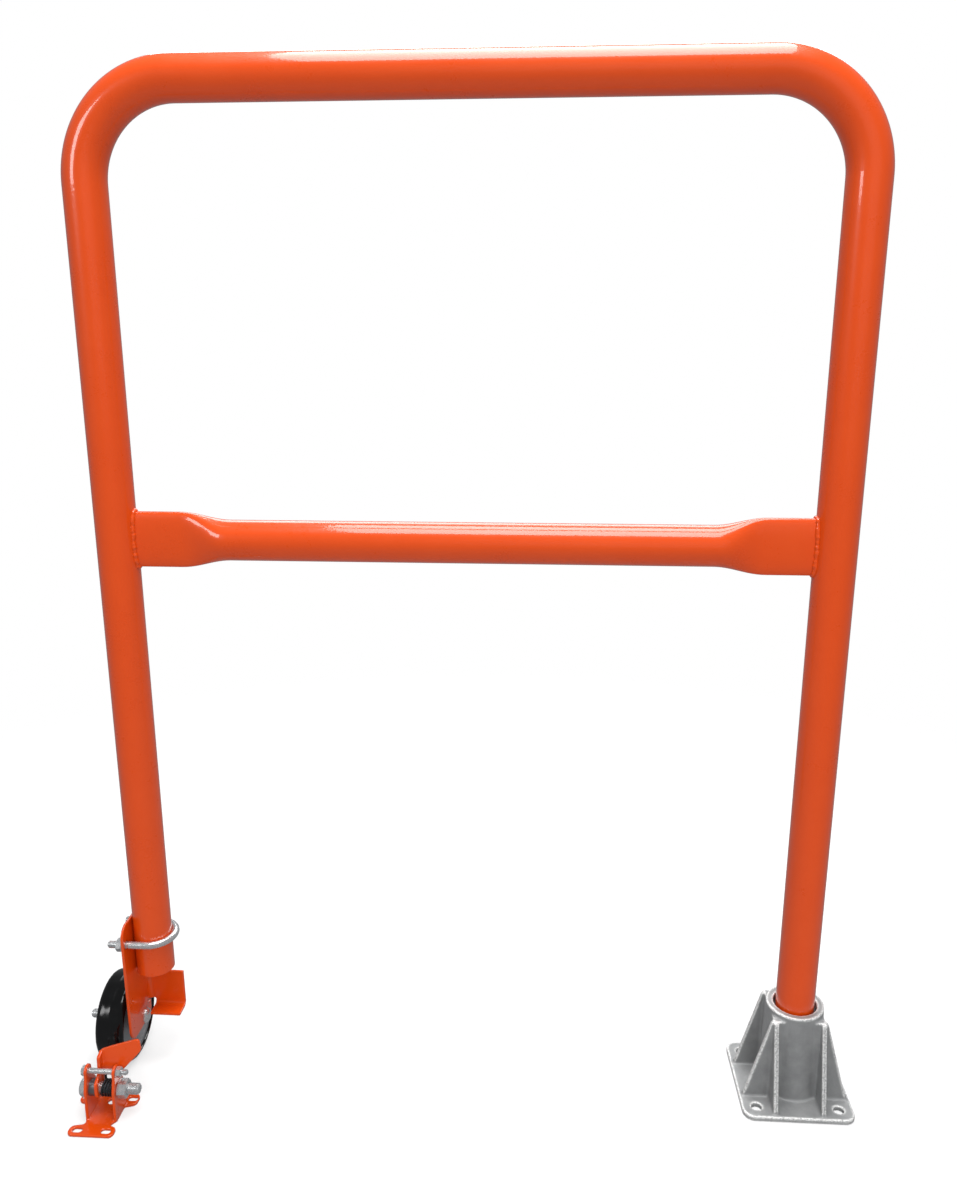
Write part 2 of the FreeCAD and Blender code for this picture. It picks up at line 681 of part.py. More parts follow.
def make_latch_bracket():
    body = new_body("latch_bracket")
    floor = new_sketch(body, "XY")
    half = [("front_foot_half", "-front_foot_edge", "6"),
            ("front_foot_half", "-front_foot_edge + foot_depth - 2", "6"),
            ("waist_half", "-front_foot_edge + foot_depth + 1", "3"),
            ("ear_out", "-ear_foot / 2 + 2"), ("ear_out", "ear_foot / 2 - 6"),
            ("rear_foot_half", "rear_foot_edge - foot_depth", "6"), ("rear_foot_half", "rear_foot_edge", "6")]
    shift = {"front_foot_half": " - foot_shift", "rear_foot_half": " - foot_shift",
             "waist_half": " - foot_shift / 2", "ear_out": ""}
    right = [(corner[0] + shift[corner[0]],) + corner[1:] for corner in half]
    left = [("-" + corner[0] + shift[corner[0]],) + corner[1:] for corner in reversed(half)]
    outline(floor, right + left)
    front, rear = "-front_foot_edge + foot_depth / 2", "rear_foot_edge - foot_depth / 2"
    for way in ("", "-"):
        slot(floor, "slot_length", "slot_width", f"{way}front_slot_spacing / 2 - foot_shift", front)
        slot(floor, "slot_length", "slot_width", f"{way}rear_slot_spacing / 2 - foot_shift", rear)
    circle(floor, "web_hole / 2", "0", "web_hole_back")
    pad(body, floor, "latch_sheet")

    for left_face in ("-ear_out", "ear_in"):
        ear = new_sketch(body, "YZ", left_face)
        lobe_front, lobe_rear = "-stop_forward - ear_lobe", "-stop_forward + ear_lobe"
        top = "pivot_height + stop_rise + ear_lobe"
        outline(ear, [("-ear_foot / 2", "latch_sheet / 2"), ("ear_foot / 2", "latch_sheet / 2"),
                      ("ear_round", "pivot_height + 3", "8"), (lobe_rear, "pivot_height + stop_rise - 6"),
                      (lobe_rear, top, "ear_lobe - 0.3"), (lobe_front, top, "ear_lobe - 0.3"),
                      (lobe_front, "pivot_height + stop_rise - 6"), ("-ear_round", "pivot_height + 3", "8")])
        circle(ear, "pivot_od / 2", "0", "pivot_height")
        circle(ear, "stop_od / 2", "-stop_forward", "pivot_height + stop_rise")
        pad(body, ear, "latch_sheet")
    return place_latch(body)


def make_latch_catch():
    """A tab on the pivot that leans on the stop bolt, folded into a paddle facing the walker."""
    body = new_body("latch_catch")
    tab = new_sketch(body, "YZ", "catch_left")
    stop_face = "-stop_forward + stop_od / 2 + running_gap"
    stop_low = "pivot_height + stop_rise - stop_od / 2"
    rear = "paddle_back + catch_sheet"
    outline(tab, [("-catch_boss", "pivot_height - catch_boss", "catch_boss - 0.3"),
                  ("catch_boss", "pivot_height - catch_boss", "catch_boss - 0.3"),
                  (rear, "pivot_height + paddle_foot - 8"), (rear, "pivot_height + paddle_low"),
                  (f"{stop_face} + 1", "pivot_height + paddle_low - 3", "3"),
                  (stop_face, f"{stop_low} - 1"), ("-catch_boss", "pivot_height + catch_boss", "4")])
    circle(tab, "pivot_od / 2 + running_gap", "0", "pivot_height")
    pad(body, tab, "catch_sheet")

    # The paddle's sketch leans back about a line at the stop bolt's height.
    paddle = new_sketch(body, "XZ", "-paddle_back - catch_sheet", ("pivot_height + stop_rise", "-paddle_lean"))
    foot, low = "paddle_foot - stop_rise", "paddle_low - stop_rise"
    high = "paddle_high - stop_rise"
    outline(paddle, [("catch_left", foot), ("paddle_reach - 21", foot, "5"),
                     ("paddle_reach", f"{high} - 13", "6"), ("paddle_reach - 3", high, "4"),
                     ("catch_left + 14", f"{low} + 5", "8"), ("catch_left", low, "5")])
    pad(body, paddle, "catch_sheet")
    return place_latch(body)


def make_latch_spring():
    """Coil of the torsion spring round the pivot bolt, between the catch and the right ear."""
    helix = doc.addObject("Part::Helix", "spring_line")
    helix.setExpression("Pitch", formula("spring_pitch"))
    helix.setExpression("Height", formula("ear_in - (catch_left + catch_sheet) - spring_wire - 4 * free_gap"))
    helix.setExpression("Radius", formula("spring_r"))
    wire = doc.addObject("Part::Circle", "spring_section")
    wire.setExpression("Radius", formula("spring_wire / 2"))
    wire.setExpression("Placement.Base.x", formula("spring_r"))
    wire.Placement.Rotation = FreeCAD.Rotation(FreeCAD.Vector(1, 0, 0), 90)
    coil = doc.addObject("Part::Sweep", "latch_spring")
    coil.Label = "latch_spring"
    coil.Sections = [wire]
    coil.Spine = (helix, [])
    coil.Solid = True
    coil.Frenet = True
    coil.Placement.Rotation = FreeCAD.Rotation(FreeCAD.Vector(0, 1, 0), 90)
    place(coil, "latch_x + catch_left + catch_sheet + spring_wire / 2 + 2 * free_gap", "-latch_reach",
          "pivot_height")
    doc.recompute()
    return coil


stop_z = "pivot_height + stop_rise"
parts.append(make_latch_bracket())
parts.append(place_latch(crossing_bolt("latch_pivot_bolt", "pivot_od", "-ear_out", "0.6 * pivot_od",
                                       "1.5 * pivot_od", "ear_out + 0.85 * pivot_od + pivot_end", "0",
                                       "pivot_height")))
parts.append(place_latch(crossing_nut(new_body("latch_pivot_nut"), "ear_out", "0.85 * pivot_od",
                                      "1.5 * pivot_od", "pivot_od", "0", "pivot_height")))
parts.append(place_latch(disc("latch_spacer", "YZ", "-ear_in", "spacer_length", "pivot_od / 2 + spacer_wall",
                              "pivot_od / 2", "0", "pivot_height")))
parts.append(make_latch_spring())
parts.append(place_latch(crossing_bolt("latch_stop_bolt", "stop_od", "-ear_out", "0.65 * stop_od",
                                       "1.65 * stop_od", "ear_out + 0.9 * stop_od + stop_end",
                                       "-stop_forward", stop_z)))
parts.append(place_latch(crossing_nut(new_body("latch_stop_nut"), "ear_out", "0.9 * stop_od",
                                      "1.65 * stop_od", "stop_od", "-stop_forward", stop_z)))
parts.append(make_latch_catch())

# ---------------------------------------------------------------- check and write

doc.recompute()
for item in doc.Objects:
    faults = [word for word in item.State if word in ("Invalid", "Error")]
    if faults:
        raise RuntimeError(f"{item.Label}: {faults}")
for item in parts:
    if item.Shape.isNull() or not item.Shape.isValid():
        raise RuntimeError(f"{item.Label} has no valid shape")

os.makedirs("parts", exist_ok=True)
for item in parts:
    item.Shape.exportStep(os.path.join("parts", f"{item.Label}.step"))
    print(f"{item.Label:20s} {len(item.Shape.Solids)} solid(s) {item.Shape.Volume / 1000:9.2f} cm3")
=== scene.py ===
# %% [markdown]
# # A swing gate that rolls on a wheel
# The real object is a single leaf of bent tube in gloss orange, turning in a cast aluminium socket on the
# floor. Its free leg rolls on a wheel, and a latch with a sprung catch stands on the floor in front of the
# wheel. The solids come from the frame, already in place, so nothing here is moved to fit. This script gives
# each of them its real finish, and builds again the pieces whose detail a plain solid leaves out.

# %% Load the frame
import math
import random

import bmesh
import bpy
from mathutils import Matrix, Vector


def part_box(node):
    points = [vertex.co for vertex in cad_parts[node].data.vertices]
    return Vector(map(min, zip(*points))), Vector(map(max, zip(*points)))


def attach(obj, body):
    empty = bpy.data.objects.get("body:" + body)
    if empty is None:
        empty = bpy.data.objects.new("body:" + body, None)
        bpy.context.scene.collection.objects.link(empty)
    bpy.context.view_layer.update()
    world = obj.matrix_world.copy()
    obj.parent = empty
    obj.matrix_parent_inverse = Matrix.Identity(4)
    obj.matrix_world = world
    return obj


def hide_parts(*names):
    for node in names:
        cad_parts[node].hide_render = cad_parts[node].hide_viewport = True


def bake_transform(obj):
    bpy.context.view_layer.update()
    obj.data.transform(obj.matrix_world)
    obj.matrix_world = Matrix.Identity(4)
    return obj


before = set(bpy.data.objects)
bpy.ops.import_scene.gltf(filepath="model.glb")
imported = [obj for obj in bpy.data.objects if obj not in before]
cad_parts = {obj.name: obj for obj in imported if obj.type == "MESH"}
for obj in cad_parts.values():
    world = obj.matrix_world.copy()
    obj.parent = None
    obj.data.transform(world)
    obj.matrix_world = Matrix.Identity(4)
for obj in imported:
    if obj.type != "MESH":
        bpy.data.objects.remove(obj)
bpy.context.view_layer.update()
scene = bpy.context.scene
MM = 0.001

# %% [markdown]
# ## Camera
# A wide lens at chest height, tipped down, makes the two legs lean towards each other at the floor. The
# roll stays level, as it does on a tripod, and nothing is out of focus, as in a catalogue picture.

# %% Camera
camera_data = bpy.data.cameras.new("camera")
camera_data.sensor_width = 36
camera_data.lens = 29.98
camera = bpy.data.objects.new("camera", camera_data)
camera.location = (-0.2897, -0.9802, 0.8124)
camera.rotation_euler = (math.radians(75.6), 0, math.radians(3.56))
scene.collection.objects.link(camera)
scene.camera = camera
print("lens", camera_data.lens, "mm at", tuple(camera.location))

# %% [markdown]
# ## Colour and node helpers
# A finish is easiest to name by its sRGB hex value, but a shader works in linear light, so one function
# turns the first into the second. A second one adds any node with its settings and links.

# %% Colour and node helpers
def tint(hex_value):
    """An sRGB hex value as the linear colour that a shader socket takes."""
    channels = [int(hex_value[start:start + 2], 16) / 255 for start in (0, 2, 4)]
    linear = [c / 12.92 if c <= 0.04045 else ((c + 0.055) / 1.055) ** 2.4 for c in channels]
    return (*linear, 1.0)


def add(tree, kind, values=None, links=None, **settings):
    """Add a node with its settings, its sockets' values and the outputs that feed it."""
    node = tree.nodes.new(kind)
    for name, value in settings.items():
        setattr(node, name, value)
    for name, value in (values or {}).items():
        node.inputs[name].default_value = value
    for name, source in (links or {}).items():
        tree.links.new(source, node.inputs[name])
    return node


def finish(name, **values):
    """A new material with its shader's own sockets set, its node tree, its shader and object coordinates."""
    material = bpy.data.materials.new(name)
    material.use_nodes = True
    tree = material.node_tree
    shader = tree.nodes["Principled BSDF"]
    for socket, value in values.items():
        shader.inputs[socket.replace("_", " ")].default_value = value
    place = add(tree, "ShaderNodeTexCoord").outputs["Object"]
    return material, tree, shader, place


print("orange in linear light:", [round(c, 3) for c in tint("DE5326")])

# %% [markdown]
# ## Gloss powder coat
# Powder coat is a plastic powder sprayed on the steel and melted there. It flows into a thick glossy skin
# with a faint orange peel, which breaks the edges of a highlight. The peel is drawn at its real 4 mm, and the
# colour and the gloss drift a little from place to place. The base is a deeper orange than the eye sees,
# because the clear gloss adds some white to it.

# %% Gloss powder coat
orange, tree, shader, place = finish("gloss_orange_powder_coat", IOR=1.5, Specular_IOR_Level=0.3,
                                     Coat_Weight=0.9, Coat_Roughness=0.06, Coat_IOR=1.5)
peel = add(tree, "ShaderNodeTexNoise", {"Scale": 1 / (4 * MM), "Detail": 2.0}, {"Vector": place})
drift = add(tree, "ShaderNodeTexNoise", {"Scale": 1 / (60 * MM), "Detail": 10.0, "Roughness": 0.75},
            {"Vector": place})
shade = add(tree, "ShaderNodeMix", {"A": tint("D64402"), "B": tint("E04E0A")}, data_type="RGBA")
tree.links.new(drift.outputs["Fac"], shade.inputs["Factor"])
tree.links.new(shade.outputs["Result"], shader.inputs["Base Color"])
gloss = add(tree, "ShaderNodeMapRange", {"From Min": 0.3, "From Max": 0.7, "To Min": 0.24, "To Max": 0.36},
            {"Value": drift.outputs["Fac"]})
tree.links.new(gloss.outputs["Result"], shader.inputs["Roughness"])
skin = add(tree, "ShaderNodeBump", {"Strength": 0.3, "Distance": 0.15 * MM}, {"Height": peel.outputs["Fac"]})
tree.links.new(skin.outputs["Normal"], shader.inputs["Normal"])
tree.links.new(skin.outputs["Normal"], shader.inputs["Coat Normal"])
print("made", orange.name)

# %% [markdown]
# ## As-cast aluminium
# The socket is cast in a sand mould and only its bore is machined. The skin keeps the sand's grain of about
# a millimetre, so it is grey and matt. The edges are painted brighter and speckled, as a painted highlight
# where light catches them. Pointiness tells an edge from a face on the socket's fine mesh.

# %% As-cast aluminium
cast, tree, shader, place = finish("as_cast_aluminium", Metallic=0.5)
grain = add(tree, "ShaderNodeTexNoise", {"Scale": 1 / (1.3 * MM), "Detail": 4.0, "Roughness": 0.65},
            {"Vector": place})
cloud = add(tree, "ShaderNodeTexNoise", {"Scale": 1 / (16 * MM), "Detail": 8.0, "Roughness": 0.6},
            {"Vector": place})
skin_tone = add(tree, "ShaderNodeMix", {"A": tint("868788"), "B": tint("B9BABA")}, data_type="RGBA")
tree.links.new(cloud.outputs["Fac"], skin_tone.inputs["Factor"])
# Painted highlight: edges found by pointiness are mixed towards near white, speckled by the sand grain.
edge = add(tree, "ShaderNodeMapRange", {"From Min": 0.503, "From Max": 0.525},
           {"Value": add(tree, "ShaderNodeNewGeometry").outputs["Pointiness"]})
speckle = add(tree, "ShaderNodeMapRange", {"From Min": 0.38, "From Max": 0.52},
              {"Value": grain.outputs["Fac"]})
painted_edge_highlight = add(tree, "ShaderNodeMath", {}, {0: edge.outputs["Result"], 1: speckle.outputs["Result"]},
             operation="MULTIPLY")
tone = add(tree, "ShaderNodeMix", {"B": tint("FFFFFD")}, {"A": skin_tone.outputs["Result"]}, data_type="RGBA")
tree.links.new(painted_edge_highlight.outputs["Value"], tone.inputs["Factor"])
tree.links.new(tone.outputs["Result"], shader.inputs["Base Color"])
matt = add(tree, "ShaderNodeMapRange", {"From Min": 0.3, "From Max": 0.7, "To Min": 0.42, "To Max": 0.62},
           {"Value": grain.outputs["Fac"]})
tree.links.new(matt.outputs["Result"], shader.inputs["Roughness"])
sand = add(tree, "ShaderNodeBump", {"Strength": 0.8, "Distance": 0.8 * MM}, {"Height": grain.outputs["Fac"]})
tree.links.new(sand.outputs["Normal"], shader.inputs["Normal"])
print("made", cast.name)

# %% [markdown]
# ## Bright zinc plate
# Bolts, nuts and the U-bolt are steel with a few thousandths of a millimetre of zinc. It is a bright, cool
# metal with a soft cloudy bloom, and its gloss changes from spot to spot.

# %% Bright zinc plate
zinc, tree, shader, place = finish("bright_zinc_plate", Metallic=0.8)
bloom = add(tree, "ShaderNodeTexNoise", {"Scale": 1 / (4 * MM), "Detail": 2.0}, {"Vector": place})
tone = add(tree, "ShaderNodeMix", {"A": tint("CDCFD2"), "B": tint("E8E9E8")}, data_type="RGBA")
tree.links.new(bloom.outputs["Fac"], tone.inputs["Factor"])
tree.links.new(tone.outputs["Result"], shader.inputs["Base Color"])
sheen = add(tree, "ShaderNodeMapRange", {"From Min": 0.3, "From Max": 0.7, "To Min": 0.18, "To Max": 0.34},
            {"Value": bloom.outputs["Fac"]})
tree.links.new(sheen.outputs["Result"], shader.inputs["Roughness"])
frost = add(tree, "ShaderNodeBump", {"Strength": 0.1, "Distance": 0.03 * MM},
            {"Height": bloom.outputs["Fac"]})
tree.links.new(frost.outputs["Normal"], shader.inputs["Normal"])
print("made", zinc.name)

# %% [markdown]
# ## Turned steel
# The spacer and the axle's sleeve are cut on a lathe. The tool leaves fine rings square to the axle, which
# lie along X here, so a wave along X draws them. They are drawn at 0.6 mm, coarser than the real feed, so
# that they show.

# %% Turned steel
turned, tree, shader, place = finish("lathe_turned_steel", Metallic=0.8)
feed = add(tree, "ShaderNodeTexWave", {"Scale": 1 / (0.6 * MM) / math.tau, "Distortion": 0.6},
           {"Vector": place}, wave_type="BANDS", bands_direction="X")
tone = add(tree, "ShaderNodeMix", {"A": tint("5D6166"), "B": tint("85898D")}, data_type="RGBA")
tree.links.new(feed.outputs["Fac"], tone.inputs["Factor"])
tree.links.new(tone.outputs["Result"], shader.inputs["Base Color"])
sheen = add(tree, "ShaderNodeMapRange", {"To Min": 0.28, "To Max": 0.42}, {"Value": feed.outputs["Fac"]})
tree.links.new(sheen.outputs["Result"], shader.inputs["Roughness"])
rings = add(tree, "ShaderNodeBump", {"Strength": 0.3, "Distance": 0.04 * MM}, {"Height": feed.outputs["Fac"]})
tree.links.new(rings.outputs["Normal"], shader.inputs["Normal"])
print("made", turned.name)

# %% [markdown]
# ## Phosphated spring steel
# Spring wire is drawn, wound and dipped in phosphate, then oiled. The result is almost black, with a dull
# shine where the oil lies.

# %% Phosphated spring steel
phosphate, tree, shader, place = finish("phosphated_spring_steel", Metallic=0.7)
oil = add(tree, "ShaderNodeTexNoise", {"Scale": 1 / (2 * MM), "Detail": 4.0}, {"Vector": place})
tone = add(tree, "ShaderNodeMix", {"A": tint("25282B"), "B": tint("41464B")}, data_type="RGBA")
tree.links.new(oil.outputs["Fac"], tone.inputs["Factor"])
tree.links.new(tone.outputs["Result"], shader.inputs["Base Color"])
sheen = add(tree, "ShaderNodeMapRange", {"From Min": 0.3, "From Max": 0.7, "To Min": 0.25, "To Max": 0.5},
            {"Value": oil.outputs["Fac"]})
tree.links.new(sheen.outputs["Result"], shader.inputs["Roughness"])
grit = add(tree, "ShaderNodeBump", {"Strength": 0.3, "Distance": 0.05 * MM}, {"Height": oil.outputs["Fac"]})
tree.links.new(grit.outputs["Normal"], shader.inputs["Normal"])
print("made", phosphate.name)

# %% [markdown]
# ## Moulded polyurethane tyre
# The tyre is cast polyurethane, black and glossy when it is new. Its skin is nearly smooth, with a few
# shallow dimples that catch the light as single bright points, and dust dulls it in patches.

# %% Moulded polyurethane tyre
urethane, tree, shader, place = finish("moulded_polyurethane", IOR=1.45)
dimple = add(tree, "ShaderNodeTexVoronoi", {"Scale": 1 / (11 * MM)}, {"Vector": place}, feature="SMOOTH_F1")
dust = add(tree, "ShaderNodeTexNoise", {"Scale": 1 / (14 * MM), "Detail": 5.0}, {"Vector": place})
tone = add(tree, "ShaderNodeMix", {"A": tint("020202"), "B": tint("0D0E0F")}, data_type="RGBA")
tree.links.new(dust.outputs["Fac"], tone.inputs["Factor"])
tree.links.new(tone.outputs["Result"], shader.inputs["Base Color"])
dull = add(tree, "ShaderNodeMapRange", {"From Min": 0.3, "From Max": 0.7, "To Min": 0.07, "To Max": 0.2},
           {"Value": dust.outputs["Fac"]})
tree.links.new(dull.outputs["Result"], shader.inputs["Roughness"])
skin = add(tree, "ShaderNodeBump", {"Strength": 0.7, "Distance": 1.0 * MM},
           {"Height": dimple.outputs["Distance"]})
tree.links.new(skin.outputs["Normal"], shader.inputs["Normal"])
print("made", urethane.name)

# %% [markdown]
# ## Moulded nylon
# The wheel's core is grey nylon with glass fibre. The bearings are a dark nylon, drawn dark enough that it
# also stands for painted shade in the gap where the upper bush shows between the leg and the socket. Moulding
# gives both a fine spark-eroded grain, drawn here at 0.8 mm so that it shows, and an even, satin shine.

# %% Moulded nylon
def nylon(name, low_tone, high_tone):
    """Satin moulded nylon between two tones."""
    material, tree, shader, place = finish(name, IOR=1.53)
    texture = add(tree, "ShaderNodeTexNoise", {"Scale": 1 / (0.8 * MM), "Detail": 2.0}, {"Vector": place})
    flow = add(tree, "ShaderNodeTexNoise", {"Scale": 1 / (18 * MM), "Detail": 3.0}, {"Vector": place})
    tone = add(tree, "ShaderNodeMix", {"A": tint(low_tone), "B": tint(high_tone)}, data_type="RGBA")
    tree.links.new(flow.outputs["Fac"], tone.inputs["Factor"])
    tree.links.new(tone.outputs["Result"], shader.inputs["Base Color"])
    satin = add(tree, "ShaderNodeMapRange", {"To Min": 0.35, "To Max": 0.55},
                {"Value": texture.outputs["Fac"]})
    tree.links.new(satin.outputs["Result"], shader.inputs["Roughness"])
    bump = add(tree, "ShaderNodeBump", {"Strength": 0.25, "Distance": 0.08 * MM},
               {"Height": texture.outputs["Fac"]})
    tree.links.new(bump.outputs["Normal"], shader.inputs["Normal"])
    return material


core_nylon = nylon("grey_glass_filled_nylon", "6B6D6F", "85878A")
# The bearings' dark tone is partly painted shade, standing in for the shade in the gap round the upper bush.
bush_nylon = nylon("dark_bearing_nylon", "242527", "38393B")
print("made", core_nylon.name, "and", bush_nylon.name)

# %% [markdown]
# ## Handing a mesh over
# Every new piece is built in place as a bmesh. This helper closes it, makes it an object at the origin, and
# says what it stands for, which body it moves with and which finish it takes.

# %% Handing a mesh over
def hand_over(mesh_or_bmesh, name, body, stands_for, material, smooth_below=35):
    """Make a piece of a finished mesh, at the origin, riding on its body."""
    mesh = mesh_or_bmesh
    if isinstance(mesh_or_bmesh, bmesh.types.BMesh):
        bmesh.ops.recalc_face_normals(mesh_or_bmesh, faces=mesh_or_bmesh.faces[:])
        mesh = bpy.data.meshes.new(name)
        mesh_or_bmesh.to_mesh(mesh)
        mesh_or_bmesh.free()
    mesh.materials.clear()
    mesh.materials.append(material)
    mesh.shade_smooth()
    mesh.set_sharp_from_angle(angle=math.radians(smooth_below))
    piece = bpy.data.objects.new(name, mesh)
    scene.collection.objects.link(piece)
    if body:
        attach(piece, body)
    if stands_for:
        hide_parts(*stands_for)
    mesh.calc_loop_triangles()
    print(f"{name}: {len(mesh.loop_triangles)} triangles on {body or 'two bodies'}")
    return piece


# %% [markdown]
# ## Rings on a shared axis
# Nuts, bolt heads, shanks, tyres and cores are all rings stacked along one axis. A circle is extruded from
# one ring to the next, and each ring's vertices are moved out to that ring's outline. For a hexagon the
# outline is the flat's distance divided by the cosine of the angle from the middle of that flat. A real nut
# is also cut by a cone, so a hexagon's corners sit lower than its flats.

# %% Rings on a shared axis
CONE = math.tan(math.radians(30))
FACE = 0.94


def rim_edges(bm, verts):
    """The edges that join a ring's own vertices."""
    ring = set(verts)
    return [e for e in bm.edges if e.verts[0] in ring and e.verts[1] in ring]


def stack(bm, rings, place, segments=72, closed=False):
    """Extrude a circle through rings of (radius, height, flats) in millimetres and set it in place.

    flats is None for a round ring. A hexagon has 0, or 1 or -1 where the cone cuts its lower or upper face.
    """
    start = bmesh.ops.create_circle(bm, segments=segments, radius=1)["verts"]
    made, current = list(start), start
    for number, (radius, height, flats) in enumerate(rings):
        if number:
            grown = bmesh.ops.extrude_edge_only(bm, edges=rim_edges(bm, current))["geom"]
            current = [g for g in grown if isinstance(g, bmesh.types.BMVert)]
            made += current
        for vert in current:
            angle = math.atan2(vert.co.y, vert.co.x)
            reach, level = radius, height
            if flats is not None:
                reach = radius / math.cos((angle + math.pi / 6) % (math.pi / 3) - math.pi / 6)
                level = height + flats * (reach - radius * FACE) * CONE
            vert.co = Vector((math.cos(angle) * reach, math.sin(angle) * reach, level)) * MM
    if closed:
        bmesh.ops.bridge_loops(bm, edges=rim_edges(bm, start) + rim_edges(bm, current))
    else:
        for end in (start, current):
            bmesh.ops.edgeloop_fill(bm, edges=rim_edges(bm, end))
    bmesh.ops.transform(bm, matrix=place, verts=made)


def along_x(x, y, z, turn=0):
    """A place whose own Z axis points along the row's -X, so that heights grow towards the wheel side."""
    lean = Matrix.Rotation(math.radians(-90), 4, "Y") @ Matrix.Rotation(math.radians(turn), 4, "Z")
    return Matrix.Translation((x, y, z)) @ lean


def core_radius(radius, pitch):
    """The radius at the bottom of a metric thread."""
    return radius - 0.61 * pitch


def washer(bm, place, outer, inner, thickness):
    """A flat ring with its edges broken."""
    rim = min(0.3, thickness / 4)
    stack(bm, [(inner + rim, 0, None), (outer - rim, 0, None), (outer, rim, None),
               (outer, thickness - rim, None), (outer - rim, thickness, None), (inner + rim, thickness, None),
               (inner, thickness - rim, None), (inner, rim, None)], place, closed=True)


def nut(bm, place, across, thickness, bore):
    """A hex nut from height 0 up, coned at both faces and countersunk at its bore."""
    flat, hole = across / 2, bore / 2
    stack(bm, [(flat * FACE, 0, None), (flat, 0, 1), (flat, thickness, -1), (flat * FACE, thickness, None),
               (hole + 0.5, thickness, None), (hole, thickness - 0.5, None), (hole, 0.5, None),
               (hole + 0.5, 0, None)], place, closed=True)


def thread(bm, place, radius, low, high, pitch):
    """A helical ridge from the thread's core to its full radius: one section spun while it climbs."""
    steps = 24
    turns = (high - low) / pitch - 1
    existing = set(bm.verts)
    root = core_radius(radius, pitch) - 0.1
    section = [bm.verts.new(Vector((r, 0, low + h)) * MM)
               for r, h in ((root, 0), (radius, pitch * 0.42), (radius, pitch * 0.55), (root, pitch * 0.97))]
    bm.edges.new((section[3], section[0]))
    edges = [bm.edges.new(pair) for pair in zip(section, section[1:])] + [section[3].link_edges[0]]
    last = bmesh.ops.spin(bm, geom=section + list(set(edges)), cent=(0, 0, 0), axis=(0, 0, 1),
                          dvec=(0, 0, pitch * MM / steps), angle=math.tau * turns,
                          steps=round(turns * steps), use_merge=False)["geom_last"]
    for end in (section, [g for g in last if isinstance(g, bmesh.types.BMVert)]):
        bmesh.ops.edgeloop_fill(bm, edges=rim_edges(bm, end))
    bmesh.ops.transform(bm, matrix=place, verts=[v for v in bm.verts if v not in existing])


# %% [markdown]
# ## Reading a bolt's place
# A CAD bolt already holds its own place. Its box gives the axis, the length and the head, so nothing is
# typed in twice.

# %% Reading a bolt's place
def middle(node):
    """The middle of a node's box."""
    low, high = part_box(node)
    return (low + high) / 2


def span(node):
    """A node's size in millimetres."""
    low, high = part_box(node)
    return (high - low) / MM


for name in ("latch_pivot_bolt", "latch_stop_bolt", "axle_bolt", "u_bolt"):
    print(name, [round(v, 1) for v in span(name)], "mm at", [round(v / MM, 1) for v in middle(name)])

# %% [markdown]
# ## The leaf's tube
# One tube is bent twice on a bender and left open at the wheel's end. A circle is extruded up the hinge leg,
# spun round each bend and extruded on, which is how the tube was made as well. The open end gets its wall,
# with the edge that a deburring tool leaves, and the bore behind it is closed out of sight.

# %% The leaf's tube
arch_low, arch_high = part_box("gate_arch")
TUBE_R = arch_high.x / MM
BEND = 90
TOP = arch_high.z / MM - TUBE_R
LEG_X = arch_low.x / MM + TUBE_R
HINGE_FOOT = arch_low.z / MM
WHEEL_FOOT = 121
WALL = 2.6
BORE_SHOWN = 60


def carry(bm, ring, way):
    """Extrude a ring by a vector in millimetres and return the new ring."""
    grown = bmesh.ops.extrude_edge_only(bm, edges=rim_edges(bm, ring))["geom"]
    moved = [g for g in grown if isinstance(g, bmesh.types.BMVert)]
    bmesh.ops.translate(bm, vec=Vector(way) * MM, verts=moved)
    return moved


def bend(bm, ring, centre, angle):
    """Spin a ring round a bend's middle and return the ring at its far end."""
    turned_ring = bmesh.ops.spin(bm, geom=ring + rim_edges(bm, ring), cent=Vector(centre) * MM,
                                 axis=(0, 1, 0), angle=math.radians(angle), steps=40,
                                 use_merge=False)["geom_last"]
    return [g for g in turned_ring if isinstance(g, bmesh.types.BMVert)]


bm = bmesh.new()
ring = bmesh.ops.create_circle(bm, segments=96, radius=TUBE_R * MM)["verts"]
bmesh.ops.translate(bm, vec=(0, 0, HINGE_FOOT * MM), verts=ring)
bmesh.ops.edgeloop_fill(bm, edges=rim_edges(bm, ring))
ring = carry(bm, ring, (0, 0, TOP - BEND - HINGE_FOOT))
ring = bend(bm, ring, (-BEND, 0, TOP - BEND), -90)
ring = carry(bm, ring, (LEG_X + 2 * BEND, 0, 0))
ring = bend(bm, ring, (LEG_X + BEND, 0, TOP - BEND), -90)
ring = carry(bm, ring, (0, 0, WHEEL_FOOT + 0.5 - (TOP - BEND)))
for shrink, drop in ((0.5, -0.5), (WALL - 1, 0), (0.5, 0.5), (0, BORE_SHOWN)):
    ring = carry(bm, ring, (0, 0, drop))
    for vert in ring:
        out = Vector((vert.co.x - LEG_X * MM, vert.co.y, 0))
        vert.co -= out.normalized() * shrink * MM
bmesh.ops.edgeloop_fill(bm, edges=rim_edges(bm, ring))
hand_over(bm, "leaf_tube", "gate", ["gate_arch"], orange)

# %% [markdown]
# ## The mid rail
# The rail is the same tube, pressed flat at both ends so that it can be welded to the legs edge on. Pressing
# leaves two flat cheeks with tight round edges above and below. Each section is a circle that turns into
# such a flat slot by a power curve. The rail's last rings run on into the legs, where the weld hides them.

# %% The mid rail
rail_low, rail_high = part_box("mid_rail")
RAIL_Z = (rail_low.z + rail_high.z) / 2 / MM
FLAT_TALL = (rail_high.z - rail_low.z) / MM / 2
FLAT_THICK = 6.5
FLAT_RUN = 46
TAPER = 52
TAPER_STEPS = 12
FLAT_END = -LEG_X / 2 - TUBE_R - FLAT_RUN
ROUND_END = FLAT_END - TAPER


